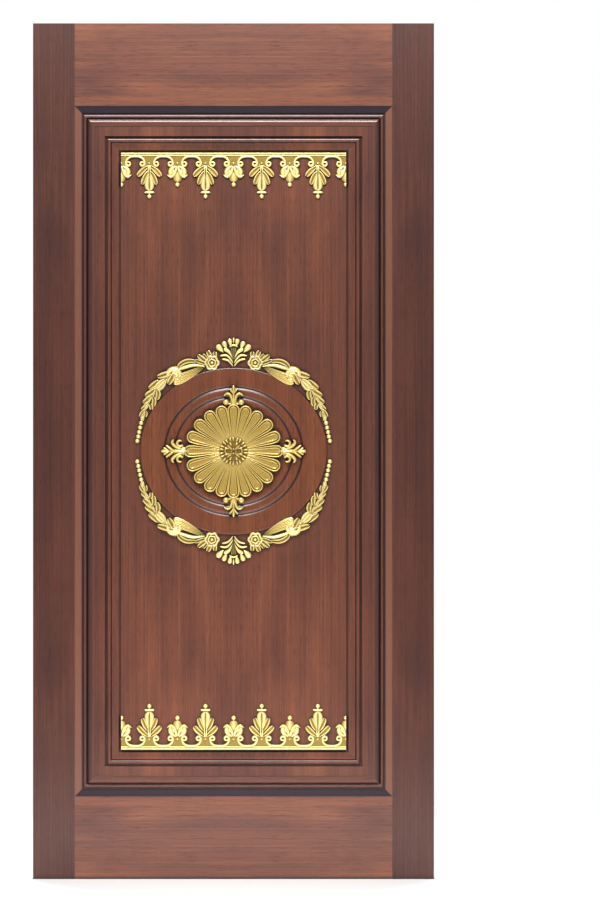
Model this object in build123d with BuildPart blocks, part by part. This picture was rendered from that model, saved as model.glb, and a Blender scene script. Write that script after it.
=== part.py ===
from build123d import *
import os
from math import atan2, cos, degrees, hypot, radians, sin

# A solid-wood panel door leaf with gilded carvings on its front.
# X is to the right, Y goes from the front face to the back, and Z is up.
# The origin is at the middle of the leaf's bottom edge. Lengths are in millimetres.

# Leaf and frame
leaf_width = 1000.0
leaf_height = 2134.0
leaf_thickness = 40.0
stile_width = 104.0
rail_height = 206.0
arris = 1.0

# Joints of the frame
groove_width = 12.0
groove_depth = 10.0
joint_fit = 0.1
tenon_height = 60.0
tenon_spacing = 92.0
wedge_length = 70.0
wedge_butt = 5.0
wedge_tip = 1.6

# Planted moulding, from the opening's edge inwards, with depths below the frame's face
moulding_width = 50.0
moulding_fit = 0.2
slope_width = 16.8
slope_head_depth = 1.0
slope_foot_depth = 8.5
quirk_width = 3.7
quirk_depth = 11.0
bead_width = 9.5
bead_top_depth = 6.0
ovolo_quirk_width = 1.2
ovolo_foot_depth = 9.5
ovolo_width = 11.2
fillet_depth = 2.0

# Panel, with depths below the frame's front face
tongue_fit = 0.2
tongue_gap = 0.6
flat_depth = 3.0
flat_width = 24.8
field_depth = 14.0
panel_back_setback = 10.0
inner_groove_width = 4.5
inner_groove_depth = 5.0
inner_groove_lean = 0.6
inner_bead_width = 11.0
inner_bead_depth = 0.6
inner_quirk_width = 1.6
cove_width = 16.0
cove_rise = 1.5
cove_drop = 2.6
cove_hollow = 1.0
step_width = 4.5
field_quirk_width = 2.4
field_quirk_depth = 1.5
cut_clearance = 1.0

# Carving: shares of a motif's outline, and how finely round stretches are faceted
ball_sides = 6
ball_crown = 0.45
strip_facets = 3
blade_shoulder = 0.76
leaf_fullness = 0.62
fan_fullness = 0.82

# Roundel on the middle of the panel
roundel_margin = 48.0
roundel_flattening = 0.893
roundel_relief = 4.0
roundel_bevel = 2.0
ring_margin_x = 61.0
ring_margin_z = 49.0
ring_width = 24.0
ring_groove_width = 5.0
ring_groove_depth = 2.4
oval_sides = 40

# Rosette on the roundel
petal_count = 20
petal_facets = 4
petal_warp = 2.0
petal_tip_radius_x = 123.0
petal_tip_radius_z = 118.0
petal_width = 28.0
petal_root_width = 9.0
petal_root_radius = 32.0
petal_relief = 6.5
petal_bevel = 1.6
rim_width = 4.4
flute_depth = 3.0
flute_root_radius = 46.0
flute_root_width = 2.6
boss_radius = 34.5
boss_relief = 8.5
boss_crown = 0.86
boss_sides = 12
boss_eye_radius = 14.0
boss_eye_relief = 10.0

# Fleur finials at the rosette's four points
fleur_root_radius = 104.0
fleur_relief = 5.0
fleur_ground = 3.0
fleur_overlap = 1.6
fleur_sepal_width = 5.0
fleur_hook_width = 8.0
# Each form is reach, bud width, bud length and neck width, then sepal tip, hook ends and curl
fleur_upright = (
    (164.0, 5.6, 13.0, 7.0),
    (11.0, 157.0),
    ((2.0, 124.0), (25.0, 142.0)),
    (19.5, 122.0, 7.0),
)
fleur_level = (
    (181.0, 19.0, 22.0, 10.0),
    (15.0, 169.0),
    ((4.0, 132.0), (30.0, 152.0)),
    (21.0, 131.0, 9.5),
)

# Garlands round the roundel: stations are an angle above the level line and a standoff
spine_low = (6.8, 8.0)
spine_middle = (29.0, 18.5)
spine_scroll = (57.2, 34.0)
flower_station = (77.5, 18.5)
garland_relief = 8.0
garland_ground_width = 10.0
garland_ground = 2.5
scribe_gap = 0.3
bead_count = 5
bead_radius = 5.9
bead_sides = 5
bead_spacing = 11.4
husk_tiers = 6
husk_first_length = 24.0
husk_last_length = 40.0
husk_slenderness = 0.42
husk_angle = 27.0
bead_relief = 6.4
scroll_radius = 15.5
flower_radius = 18.5
flower_petals = 5
flower_petal_width = 20.0
flower_eye_radius = 4.0
flower_eye_relief = 8.8
swag_leaf_width = 27.0
swag_lobe_width = 17.0
swag_lap = 10.0
spike_angles = (20.0, 62.0, 104.0)
spike_length = 31.0
spike_width = 12.0
spike_relief = 6.4

# Palmettes above and below the roundel, measured from the foot
palmette_standoff = 3.0
palmette_relief = 8.0
palmette_ground = 2.5
frond_width = 9.0
frond_runs = (
    ((3.0, 2.0), (29.0, 20.0)),
    ((3.0, 9.0), (34.0, 30.0)),
    ((2.0, 17.0), (24.0, 45.0)),
)
palmette_balls = ((36.7, 47.9, 8.3), (23.4, 56.8, 7.0), (9.5, 63.5, 6.5))
palmette_fan_height = 54.0
palmette_fan_width = 17.0
palmette_fan_relief = 6.4
palmette_tip_height = 73.5
palmette_tip_root = 48.0
palmette_tip_width = 5.0
spoke_root = 6.0
spoke_width = 8.0

# Friezes at the two ends of the field
frieze_pitches = 8
frieze_fit = 0.3
band_height = 9.0
band_relief = 6.0
ground_relief = 3.0
drop_relief = 7.5
volute_share = 0.25
volute_drop = 28.0
volute_radius = 8.4
volute_sides = 6
arch_rise = 19.0
arch_width = 5.6
arch_facets = 4
web_widths = (56.0, 32.0, 13.0)
web_drops = (5.0, 20.0, 34.0)
neck_width = 4.0
neck_overlap = 4.0
leaf_blades = ((0.0, 44.0, 97.0, 22.0), (16.0, 38.0, 80.0, 15.0), (42.0, 31.0, 62.0, 15.0))
collar_drop = 99.7
collar_width = 22.0
collar_height = 6.0
leaf_ball_drop = 110.0
leaf_ball_radius = 5.8
tulip_blades = ((0.0, 40.0, 74.0, 17.0), (38.0, 32.0, 62.0, 19.0))
tulip_ball_drop = 79.8
tulip_ball_radius = 5.4

# Places that follow from the sizes above
opening_width = leaf_width - 2 * stile_width
opening_height = leaf_height - 2 * rail_height
front_y = -leaf_thickness / 2
middle_z = leaf_height / 2
tenon_thickness = groove_width - 2 * joint_fit
tongue_thickness = groove_width - 2 * tongue_fit
tongue_reach = groove_depth - tongue_gap
raised_inset = moulding_width + moulding_fit
bead_start = slope_width + quirk_width
bead_end = bead_start + bead_width
ovolo_start = bead_end + ovolo_quirk_width
ovolo_end = ovolo_start + ovolo_width
moulding_seat_depth = (leaf_thickness - tongue_thickness) / 2
inner_start = raised_inset + flat_width
inner_bead_start = inner_start + inner_groove_width
inner_quirk_start = inner_bead_start + inner_bead_width
cove_start = inner_quirk_start + inner_quirk_width
step_start = cove_start + cove_width
field_quirk_start = step_start + step_width
field_inset = field_quirk_start + field_quirk_width
field_width = opening_width - 2 * field_inset
field_height = opening_height - 2 * field_inset
roundel_radius_x = field_width / 2 - roundel_margin
roundel_radius_z = roundel_radius_x * roundel_flattening
ring_radius_x = roundel_radius_x - ring_margin_x
ring_radius_z = roundel_radius_z - ring_margin_z
elevation = Plane(origin=(0, 0, middle_z), x_dir=(1, 0, 0), z_dir=(0, -1, 0))
field_plane = elevation.offset(-front_y - field_depth)
roundel_face = field_plane.offset(roundel_relief)


def side_planes(width, height):
    """Section planes for the four sides of a centred rectangle, each with its run."""
    left, right = -width / 2, width / 2
    low, high = middle_z - height / 2, middle_z + height / 2
    return {
        "left": (Plane((left, front_y, low), x_dir=(1, 0, 0), z_dir=(0, 0, 1)), height),
        "top": (Plane((left, front_y, high), x_dir=(0, 0, -1), z_dir=(1, 0, 0)), width),
        "right": (Plane((right, front_y, high), x_dir=(-1, 0, 0), z_dir=(0, 0, -1)), height),
        "bottom": (Plane((right, front_y, low), x_dir=(0, 0, 1), z_dir=(-1, 0, 0)), width),
    }


def mitred_run(section, plane, run):
    """Run a section along one side of the frame and mitre both of its ends."""
    far_corner = plane.offset(run).origin
    with BuildPart() as length:
        with BuildSketch(plane):
            add(section)
        extrude(amount=run)
        split(bisect_by=Plane(plane.origin, z_dir=plane.z_dir - plane.x_dir), keep=Keep.TOP)
        split(bisect_by=Plane(far_corner, z_dir=-plane.z_dir - plane.x_dir), keep=Keep.TOP)
    return length.part


def finish(piece, name):
    """Label a finished piece and write it out."""
    piece.label = name
    export_step(piece, f"parts/{name}.step")


# Wedges and mortises share one tapered outline, seen from the front
tenon_levels = [
    centre + side * tenon_spacing / 2
    for centre in (rail_height / 2, leaf_height - rail_height / 2)
    for side in (-1, 1)
]


def wedge_points(side, level, edge):
    """Corners of the wedge on one edge of a tenon, at one side of the leaf."""
    seat = level + edge * tenon_height / 2
    outer = side * leaf_width / 2
    inner = side * (leaf_width / 2 - wedge_length)
    return [
        (outer, seat),
        (outer, seat + edge * wedge_butt),
        (inner, seat + edge * wedge_tip),
        (inner, seat),
    ]


# Stiles
for name, side in (("stile_left", -1), ("stile_right", 1)):
    with BuildPart() as stile:
        with BuildSketch():
            with Locations((side * (leaf_width - stile_width) / 2, 0)):
                Rectangle(stile_width, leaf_thickness)
        extrude(amount=leaf_height)
        outer_face = stile.faces().sort_by(Axis.X)[-1 if side > 0 else 0]
        chamfer(outer_face.edges().filter_by(Axis.Z), arris)
        with BuildSketch():
            with Locations((side * (opening_width + groove_depth) / 2, 0)):
                Rectangle(groove_depth, groove_width)
        extrude(amount=leaf_height, mode=Mode.SUBTRACT)
        with BuildSketch(Plane.XZ):
            for level in tenon_levels:
                with Locations((side * (leaf_width - stile_width) / 2, level)):
                    Rectangle(stile_width, tenon_height)
                for edge in (-1, 1):
                    with BuildLine():
                        Polyline(*wedge_points(side, level, edge), close=True)
                    make_face()
        extrude(amount=groove_width / 2, both=True, mode=Mode.SUBTRACT)
    finish(stile.part, name)

with BuildPart() as tenon_wedges:
    with BuildSketch(Plane.XZ):
        for side in (-1, 1):
            for level in tenon_levels:
                for edge in (-1, 1):
                    with BuildLine():
                        Polyline(*wedge_points(side, level, edge), close=True)
                    make_face()
    extrude(amount=tenon_thickness / 2, both=True)
finish(tenon_wedges.part, "tenon_wedges")

# Rails
for name, side in (("rail_bottom", -1), ("rail_top", 1)):
    rail_plane = elevation.shift_origin((0, 0, middle_z + side * (leaf_height - rail_height) / 2))
    with BuildPart() as rail:
        with BuildSketch(rail_plane):
            Rectangle(opening_width, rail_height)
        extrude(amount=leaf_thickness / 2, both=True)
        outer_face = rail.faces().sort_by(Axis.Z)[-1 if side > 0 else 0]
        chamfer(outer_face.edges().filter_by(Axis.X), arris)
        with BuildSketch(rail_plane):
            Rectangle(opening_width + 2 * groove_depth, rail_height)
            with Locations((0, -tenon_spacing / 2), (0, tenon_spacing / 2)):
                Rectangle(leaf_width, tenon_height)
        extrude(amount=tenon_thickness / 2, both=True)
        with BuildSketch(rail_plane):
            with Locations((0, -side * (rail_height - groove_depth) / 2)):
                Rectangle(opening_width + 2 * groove_depth, groove_depth)
        extrude(amount=groove_width / 2, both=True, mode=Mode.SUBTRACT)
    finish(rail.part, name)

# Planted mouldings: moulded on the front, with a plainer section on the back
with BuildSketch() as moulding_section:
    with BuildLine():
        back_left = (0, moulding_seat_depth)
        head = (0, slope_head_depth)
        foot = (slope_width, slope_foot_depth)
        ovolo_rise = ovolo_foot_depth - fillet_depth
        ovolo_turn = sin(radians(45))
        Polyline(back_left, head, foot, (slope_width, quirk_depth), (bead_start, quirk_depth))
        ThreePointArc(
            (bead_start, quirk_depth),
            ((bead_start + bead_end) / 2, bead_top_depth),
            (bead_end, quirk_depth),
        )
        Polyline((bead_end, quirk_depth), (ovolo_start, quirk_depth), (ovolo_start, ovolo_foot_depth))
        ThreePointArc(
            (ovolo_start, ovolo_foot_depth),
            (ovolo_end - ovolo_turn * ovolo_width, ovolo_foot_depth - ovolo_turn * ovolo_rise),
            (ovolo_end, fillet_depth),
        )
        Polyline(
            (ovolo_end, fillet_depth),
            (moulding_width, fillet_depth),
            (moulding_width, moulding_seat_depth),
            back_left,
        )
    make_face()
with BuildSketch() as back_section:
    with BuildLine():
        Polyline(
            (0, moulding_seat_depth),
            (0, slope_head_depth),
            (slope_width, slope_foot_depth),
            (bead_start, slope_foot_depth),
            (ovolo_start, fillet_depth),
            (moulding_width, fillet_depth),
            (moulding_width, moulding_seat_depth),
            close=True,
        )
    make_face()
for side, (plane, run) in side_planes(opening_width, opening_height).items():
    moulding_mirrored = mitred_run(back_section.sketch, plane, run)
    with BuildPart() as moulding_back:
        mirror(moulding_mirrored, about=Plane.XZ)
    finish(mitred_run(moulding_section.sketch, plane, run), f"moulding_front_{side}")
    finish(moulding_back.part, f"moulding_back_{side}")

# Panel: tongue, raised front and back, then the pocket with its inner moulding
with BuildSketch() as pocket_section:
    with BuildLine():
        groove_level = flat_depth + inner_groove_depth
        bead_level = flat_depth + inner_bead_depth
        cove_head = groove_level - cove_rise
        cove_foot = groove_level + cove_drop
        Polyline(
            (inner_start, flat_depth),
            (inner_start + inner_groove_lean, groove_level),
            (inner_bead_start, groove_level),
        )
        ThreePointArc(
            (inner_bead_start, groove_level),
            (inner_bead_start + inner_bead_width / 2, bead_level),
            (inner_quirk_start, groove_level),
        )
        Polyline((inner_quirk_start, groove_level), (cove_start, cove_head))
        ThreePointArc(
            (cove_start, cove_head),
            ((cove_start + step_start) / 2, (cove_head + cove_foot) / 2 + cove_hollow),
            (step_start, cove_foot),
        )
        Polyline(
            (step_start, cove_foot),
            (field_quirk_start, field_depth + field_quirk_depth),
            (field_inset, field_depth + field_quirk_depth),
            (field_inset, flat_depth - cut_clearance),
            (inner_start, flat_depth - cut_clearance),
            (inner_start, flat_depth),
        )
    make_face()
with BuildPart() as panel:
    with BuildSketch(elevation):
        Rectangle(opening_width + 2 * tongue_reach, opening_height + 2 * tongue_reach)
    extrude(amount=tongue_thickness / 2, both=True)
    with BuildSketch(elevation):
        Rectangle(opening_width - 2 * raised_inset, opening_height - 2 * raised_inset)
    extrude(amount=leaf_thickness / 2 - flat_depth)
    with BuildSketch(elevation):
        Rectangle(opening_width - 2 * raised_inset, opening_height - 2 * raised_inset)
    extrude(amount=-(leaf_thickness / 2 - panel_back_setback))
    with BuildSketch(field_plane):
        Rectangle(field_width, field_height)
    extrude(amount=leaf_thickness, mode=Mode.SUBTRACT)
    for plane, run in side_planes(opening_width, opening_height).values():
        add(mitred_run(pocket_section.sketch, plane, run), mode=Mode.SUBTRACT)
finish(panel.part, "panel")


# Roundel: a bevelled oval disc with two grooves cut round it
def oval(radius_x, radius_z):
    """A many-sided oval outline."""
    turns = [radians(360 * index / oval_sides) for index in range(oval_sides)]
    with BuildSketch() as outline:
        with BuildLine():
            Polyline(*[(radius_x * cos(turn), radius_z * sin(turn)) for turn in turns], close=True)
        make_face()
    return outline.sketch


roundel_outline = oval(roundel_radius_x, roundel_radius_z)
ring_cuts = []
for shrink in (0, ring_width):
    ring_x, ring_z = ring_radius_x - shrink, ring_radius_z - shrink
    mouth = ring_groove_width / 2
    slant = degrees(atan2(mouth, ring_groove_depth))
    with BuildPart() as outer_wall:
        with BuildSketch():
            add(oval(ring_x + mouth, ring_z + mouth))
        extrude(amount=-ring_groove_depth, taper=slant)
    with BuildPart() as inner_wall:
        with BuildSketch():
            add(oval(ring_x - mouth, ring_z - mouth))
        extrude(amount=-ring_groove_depth, taper=-slant)
    ring_cuts.append(outer_wall.part - inner_wall.part)
with BuildPart(field_plane) as roundel:
    with BuildSketch(field_plane):
        add(roundel_outline)
    extrude(amount=roundel_relief)
    chamfer(roundel.faces().sort_by(Axis.Y)[0].edges(), roundel_bevel)
with BuildPart() as roundel_cut:
    add(roundel.part)
    add([roundel_face * cut for cut in ring_cuts], mode=Mode.SUBTRACT)
finish(roundel_cut.part, "roundel")


# Carving motifs, each made flat on the XY plane with its relief along Z
def blade(width, length, relief, fullness=0.5, shoulder=None):
    """A pointed leaf that starts at the origin, lies along +Y and rises to a ridge."""
    belly = length * fullness
    right = [(width / 2, belly)]
    if shoulder:
        right.insert(0, (width * shoulder / 2, belly / 2))
    left = [(-x, y) for x, y in reversed(right)]
    with BuildSketch() as outline:
        with BuildLine():
            Polyline((0, 0), *right, (0, length), *left, close=True)
        make_face()
    with BuildPart() as one:
        loft(sections=[outline.sketch, Vertex(0, belly, relief)])
    return one.part


def ball(radius, relief, crown=ball_crown, sides=ball_sides):
    """A carved bead: a faceted dome with a flat crown, a share of its radius."""
    slant = degrees(atan2(radius * (1 - crown), relief))
    with BuildPart() as one:
        with BuildSketch():
            RegularPolygon(radius, sides)
        extrude(amount=relief, taper=slant)
    return one.part


def strip_outline(points, width, facets=strip_facets):
    """Outline of an even strip along an arc through three points, cut in facets."""
    path = ThreePointArc(*points)
    near, far = [], []
    for index in range(facets + 1):
        at = index / facets
        across = (path % at).rotate(Axis.Z, 90) * (width / 2)
        near.append(path @ at + across)
        far.append(path @ at - across)
    with BuildSketch() as outline:
        with BuildLine():
            Polyline(*near, *reversed(far), close=True)
        make_face()
    return outline.sketch


def strip(points, width, relief):
    """A carved strip of even width along an arc through three points."""
    outline = strip_outline(points, width)
    with BuildPart() as one:
        with BuildSketch():
            add(outline)
        extrude(amount=relief)
    return one.part


def placed(motif, x, y, angle=0.0):
    """A copy of a motif at its point, turned from +Y by its angle."""
    return motif.moved(Location((x, y, 0), (0, 0, angle)))


def between(start, end, width, relief, shoulder=None):
    """A full leaf that runs from one point to another."""
    run = Vector(end) - Vector(start)
    leaf = blade(width, run.length, relief, leaf_fullness, shoulder)
    return placed(leaf, Vector(start).X, Vector(start).Y, degrees(atan2(-run.X, run.Y)))


# Rosette
def tongue(inset, root_radius, root_width, tip_radius):
    """Outline of one round-ended petal, drawn along +Y."""
    half = petal_width / 2 - inset
    shoulder = tip_radius - petal_width / 2
    angles = [radians(180 * index / petal_facets) for index in range(petal_facets + 1)]
    with BuildSketch() as outline:
        with BuildLine():
            Polyline(
                (root_width / 2, root_radius),
                *[(half * cos(angle), shoulder + half * sin(angle)) for angle in angles],
                (-root_width / 2, root_radius),
                close=True,
            )
        make_face()
    return outline.sketch


def petal(tip_radius):
    """One petal with a raised rim round its hollow."""
    foot = tongue(0, petal_root_radius, petal_root_width, tip_radius)
    hollow = tongue(rim_width, flute_root_radius, flute_root_width, tip_radius)
    with BuildPart() as one:
        with BuildSketch():
            add(foot)
        extrude(amount=petal_relief, taper=degrees(atan2(petal_bevel, petal_relief)))
        scoop = Vertex(0, tip_radius - petal_width / 2, petal_relief - flute_depth)
        loft(sections=[Plane.XY.offset(petal_relief) * hollow, scoop], mode=Mode.SUBTRACT)
    return one.part


def fleur(form):
    """A fleur finial along +Y, from under the petals to its tip."""
    (reach, bud_width, bud_length, neck_width), sepal_tip, hook, curl = form
    sepal_root = reach - bud_length * fleur_overlap
    sepal_x, sepal_y = sepal_tip
    curl_x, curl_y, curl_radius = curl
    sepal_length = hypot(sepal_x, sepal_y - sepal_root)
    sepal = blade(fleur_sepal_width, sepal_length, fleur_relief)
    pieces = [placed(blade(bud_width, bud_length, fleur_relief), 0, reach - bud_length)]
    for side in (-1, 1):
        lean = -side * degrees(atan2(sepal_x, sepal_y - sepal_root))
        pieces.append(placed(sepal, 0, sepal_root, lean))
        hook_root, hook_tip = [(side * x, y) for x, y in hook]
        pieces.append(between(hook_root, hook_tip, fleur_hook_width, fleur_relief))
        pieces.append(placed(ball(curl_radius, fleur_relief), side * curl_x, curl_y))
    with BuildPart() as one:
        with BuildSketch():
            with BuildLine():
                Polyline(
                    (-neck_width / 2, fleur_root_radius),
                    (-curl_x, curl_y),
                    (-neck_width / 2, curl_y + curl_radius),
                    (0, reach - bud_length / 2),
                    (neck_width / 2, curl_y + curl_radius),
                    (curl_x, curl_y),
                    (neck_width / 2, fleur_root_radius),
                    close=True,
                )
            make_face()
        extrude(amount=fleur_ground)
        add(pieces)
    return one.part


rosette_pieces = []
for index in range(petal_count):
    turn = 360 * index / petal_count
    bearing = turn - petal_warp * sin(radians(2 * turn))
    tip = hypot(petal_tip_radius_z * cos(radians(turn)), petal_tip_radius_x * sin(radians(turn)))
    rosette_pieces.append(placed(petal(tip), 0, 0, bearing))
for turn, form in ((0, fleur_upright), (90, fleur_level)):
    rosette_pieces += [placed(fleur(form), 0, 0, turn), placed(fleur(form), 0, 0, turn + 180)]
rosette_pieces.append(ball(boss_radius, boss_relief, boss_crown, boss_sides))
rosette_pieces.append(ball(boss_eye_radius, boss_eye_relief))
with BuildPart(roundel_face) as rosette:
    add(rosette_pieces)
finish(rosette.part, "rosette")


# Garlands
def station(angle, standoff):
    """A point in the upper left quarter, at an angle and a standoff from the roundel."""
    across = (roundel_radius_x + standoff) * cos(radians(angle))
    up = (roundel_radius_z + standoff) * sin(radians(angle))
    return Vector(-across, up)


scroll_point = station(*spine_scroll)
flower_point = station(*flower_station)
spine_points = (station(*spine_low), station(*spine_middle), scroll_point)
spine = ThreePointArc(*spine_points)
garland_pieces = [strip(spine_points, garland_ground_width, garland_ground)]
bead = ball(bead_radius, bead_relief, sides=bead_sides)
for index in range(bead_count):
    point = spine @ (index * bead_spacing / spine.length)
    garland_pieces.append(placed(bead, point.X, point.Y))
husk_start = bead_count * bead_spacing / spine.length
for tier in range(husk_tiers):
    share = (tier + 1) / husk_tiers
    at = husk_start + (1 - husk_start) * share
    husk_length = husk_first_length + (husk_last_length - husk_first_length) * share
    husk = blade(husk_length * husk_slenderness, husk_length, garland_relief)
    point, way = spine @ at, spine % at
    heading = degrees(atan2(way.X, -way.Y))
    for side in (-1, 1):
        garland_pieces.append(placed(husk, point.X, point.Y, heading + side * husk_angle))
garland_pieces.append(placed(ball(scroll_radius, garland_relief), scroll_point.X, scroll_point.Y))
swag_end = flower_point + Vector(swag_lap - flower_radius, 0)
swag_foot = scroll_point + Vector(0, -scroll_radius)
lobe_foot = scroll_point + Vector(scroll_radius, scroll_radius / 2)
for foot, width in ((swag_foot, swag_leaf_width), (lobe_foot, swag_lobe_width)):
    garland_pieces.append(between(swag_end, foot, width, garland_relief, blade_shoulder))
spike = blade(spike_width, spike_length, spike_relief)
for spike_angle in spike_angles:
    garland_pieces.append(placed(spike, flower_point.X, flower_point.Y, spike_angle))
flower_petal = blade(flower_petal_width, flower_radius, garland_relief, leaf_fullness)
for index in range(flower_petals):
    petal_turn = 360 * index / flower_petals
    garland_pieces.append(placed(flower_petal, flower_point.X, flower_point.Y, petal_turn))
eye = ball(flower_eye_radius, flower_eye_relief)
garland_pieces.append(placed(eye, flower_point.X, flower_point.Y))
scribe = oval(roundel_radius_x + scribe_gap, roundel_radius_z + scribe_gap)
with BuildPart(field_plane) as garland:
    add(garland_pieces)
    with BuildSketch(field_plane):
        add(scribe)
    extrude(amount=leaf_thickness, mode=Mode.SUBTRACT)
level_plane = Plane(origin=(0, 0, middle_z), z_dir=(0, 0, 1))
with BuildPart() as garland_top_right:
    mirror(garland.part, about=Plane.YZ)
with BuildPart() as garland_bottom_left:
    mirror(garland.part, about=level_plane)
with BuildPart() as garland_bottom_right:
    mirror(garland_top_right.part, about=level_plane)
finish(garland.part, "garland_top_left")
finish(garland_top_right.part, "garland_top_right")
finish(garland_bottom_left.part, "garland_bottom_left")
finish(garland_bottom_right.part, "garland_bottom_right")

# Palmettes
palmette_tip_length = palmette_tip_height - palmette_tip_root
palmette_tip = blade(palmette_tip_width, palmette_tip_length, palmette_relief, leaf_fullness)
palmette_pieces = [
    blade(palmette_fan_width, palmette_fan_height, palmette_fan_relief, fan_fullness),
    placed(palmette_tip, 0, palmette_tip_root),
]
for side in (-1, 1):
    for (root_x, root_y), (tip_x, tip_y) in frond_runs:
        root, tip = (side * root_x, root_y), (side * tip_x, tip_y)
        palmette_pieces.append(between(root, tip, frond_width, palmette_relief))
    for x, y, radius in palmette_balls:
        spoke_length = hypot(x, y - spoke_root)
        spoke = blade(spoke_width, spoke_length + radius / 2, palmette_ground, fan_fullness)
        lean = -side * degrees(atan2(x, y - spoke_root))
        palmette_pieces.append(placed(spoke, 0, spoke_root, lean))
        palmette_pieces.append(placed(ball(radius, palmette_relief), side * x, y))
palmette_plane = field_plane.shift_origin(
    (0, field_plane.origin.Y, middle_z + roundel_radius_z + palmette_standoff)
)
with BuildPart(palmette_plane) as palmette:
    add(palmette_pieces)
with BuildPart() as palmette_bottom:
    mirror(palmette.part, about=level_plane)
finish(palmette.part, "palmette_top")
finish(palmette_bottom.part, "palmette_bottom")


# Friezes
def drop(blades, ball_drop, ball_radius):
    """A hanging motif of paired blades round a middle one, with a ball at its foot."""
    pieces = [placed(ball(ball_radius, drop_relief), 0, -ball_drop)]
    for angle, root, foot, width in blades:
        leaf_length = (foot - root) / cos(radians(angle))
        leaf = blade(width, leaf_length, drop_relief, leaf_fullness, blade_shoulder if angle else None)
        turns = (180 - angle, 180 + angle) if angle else (180,)
        pieces += [placed(leaf, 0, -root, turn) for turn in turns]
    return pieces


leaf_drop = drop(leaf_blades, leaf_ball_drop, leaf_ball_radius)
tulip_drop = drop(tulip_blades, tulip_ball_drop, tulip_ball_radius)
pitch = field_width / frieze_pitches
volute_offset = pitch * volute_share
arch_half = pitch / 2 - volute_offset + volute_radius - arch_width / 2
arch_path = ((-arch_half, -volute_drop), (0, arch_rise - volute_drop), (arch_half, -volute_drop))
arch = strip_outline(arch_path, arch_width, arch_facets)
frieze_pieces = []
arch_centres = []
volute_centres = []
drop_centres = []
neck_ends = []
for index in range(frieze_pitches):
    middle = (index + 0.5 - frieze_pitches / 2) * pitch
    arch_centres.append((middle, 0))
    volute_centres += [(middle + side * (pitch / 2 - volute_offset), -volute_drop) for side in (-1, 1)]
for index in range(frieze_pitches + 1):
    across = (index - frieze_pitches / 2) * pitch
    drop_centres.append(across)
    motif = leaf_drop if index % 2 else tulip_drop
    middle_blade = leaf_blades[0] if index % 2 else tulip_blades[0]
    neck_ends.append((middle_blade[2] - neck_overlap, leaf_ball_drop if index % 2 else tulip_ball_drop))
    frieze_pieces += [placed(piece, across, 0) for piece in motif]
frieze_plane = field_plane.shift_origin(
    (0, field_plane.origin.Y, middle_z + field_height / 2 - frieze_fit)
)
with BuildPart(frieze_plane) as frieze:
    with BuildSketch(frieze_plane):
        with Locations((0, -band_height / 2)):
            Rectangle(field_width, band_height)
        with Locations(*volute_centres):
            RegularPolygon(volute_radius, volute_sides)
        with Locations(*arch_centres):
            add(arch)
    extrude(amount=band_relief)
    with BuildSketch(frieze_plane):
        for across, (neck_head, neck_foot) in zip(drop_centres, neck_ends):
            web_left = [(across - w / 2, -d) for w, d in zip(web_widths, web_drops)]
            web_right = [(across + w / 2, -d) for w, d in zip(web_widths, web_drops)]
            with BuildLine():
                Polyline(*web_left, *reversed(web_right), close=True)
            make_face()
            with Locations((across, -(neck_head + neck_foot) / 2)):
                Rectangle(neck_width, neck_foot - neck_head)
        with Locations(*[(across, -collar_drop) for across in drop_centres[1::2]]):
            Rectangle(collar_width, collar_height)
    extrude(amount=ground_relief)
    add(frieze_pieces)
    with BuildSketch(frieze_plane):
        with Locations((-field_width, 0), (field_width, 0)):
            Rectangle(field_width + 2 * frieze_fit, field_width)
    extrude(amount=leaf_thickness, mode=Mode.SUBTRACT)
with BuildPart() as frieze_bottom:
    mirror(frieze.part, about=level_plane)
finish(frieze.part, "frieze_top")
finish(frieze_bottom.part, "frieze_bottom")
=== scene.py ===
from math import cos, pi, radians, sin, sqrt, tan

import bmesh
import bpy
from mathutils import Matrix, Vector


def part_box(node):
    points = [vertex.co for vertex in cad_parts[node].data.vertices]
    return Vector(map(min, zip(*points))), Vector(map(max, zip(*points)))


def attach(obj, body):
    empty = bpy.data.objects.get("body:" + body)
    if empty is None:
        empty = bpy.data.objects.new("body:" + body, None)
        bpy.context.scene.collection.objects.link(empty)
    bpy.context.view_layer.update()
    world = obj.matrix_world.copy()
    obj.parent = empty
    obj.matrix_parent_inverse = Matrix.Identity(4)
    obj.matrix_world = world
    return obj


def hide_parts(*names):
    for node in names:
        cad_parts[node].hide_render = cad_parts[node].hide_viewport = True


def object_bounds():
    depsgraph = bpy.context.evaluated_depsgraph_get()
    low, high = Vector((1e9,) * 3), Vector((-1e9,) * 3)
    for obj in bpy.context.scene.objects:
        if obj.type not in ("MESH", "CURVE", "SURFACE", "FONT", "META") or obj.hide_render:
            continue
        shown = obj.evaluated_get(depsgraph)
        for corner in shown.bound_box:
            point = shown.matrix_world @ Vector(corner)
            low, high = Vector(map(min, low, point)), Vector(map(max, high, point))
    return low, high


# Gilded panel door leaf. +X is to the right seen from the front, the front looks along -Y, and Z is up.
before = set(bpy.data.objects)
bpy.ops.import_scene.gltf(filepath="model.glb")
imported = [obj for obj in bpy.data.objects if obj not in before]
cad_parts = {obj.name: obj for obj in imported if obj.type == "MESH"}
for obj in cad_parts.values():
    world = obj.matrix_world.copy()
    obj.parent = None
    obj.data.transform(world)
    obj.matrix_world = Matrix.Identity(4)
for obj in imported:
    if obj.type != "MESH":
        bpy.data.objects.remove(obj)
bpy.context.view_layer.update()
print("loaded", len(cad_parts), "pieces of the leaf")


def linear(hexColour):           # sRGB hex to the linear values that a shader socket takes
    values = [int(hexColour[i:i + 2], 16) / 255 for i in (1, 3, 5)]
    return tuple(v / 12.92 if v <= 0.04045 else ((v + 0.055) / 1.055) ** 2.4 for v in values) + (1.0,)


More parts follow.
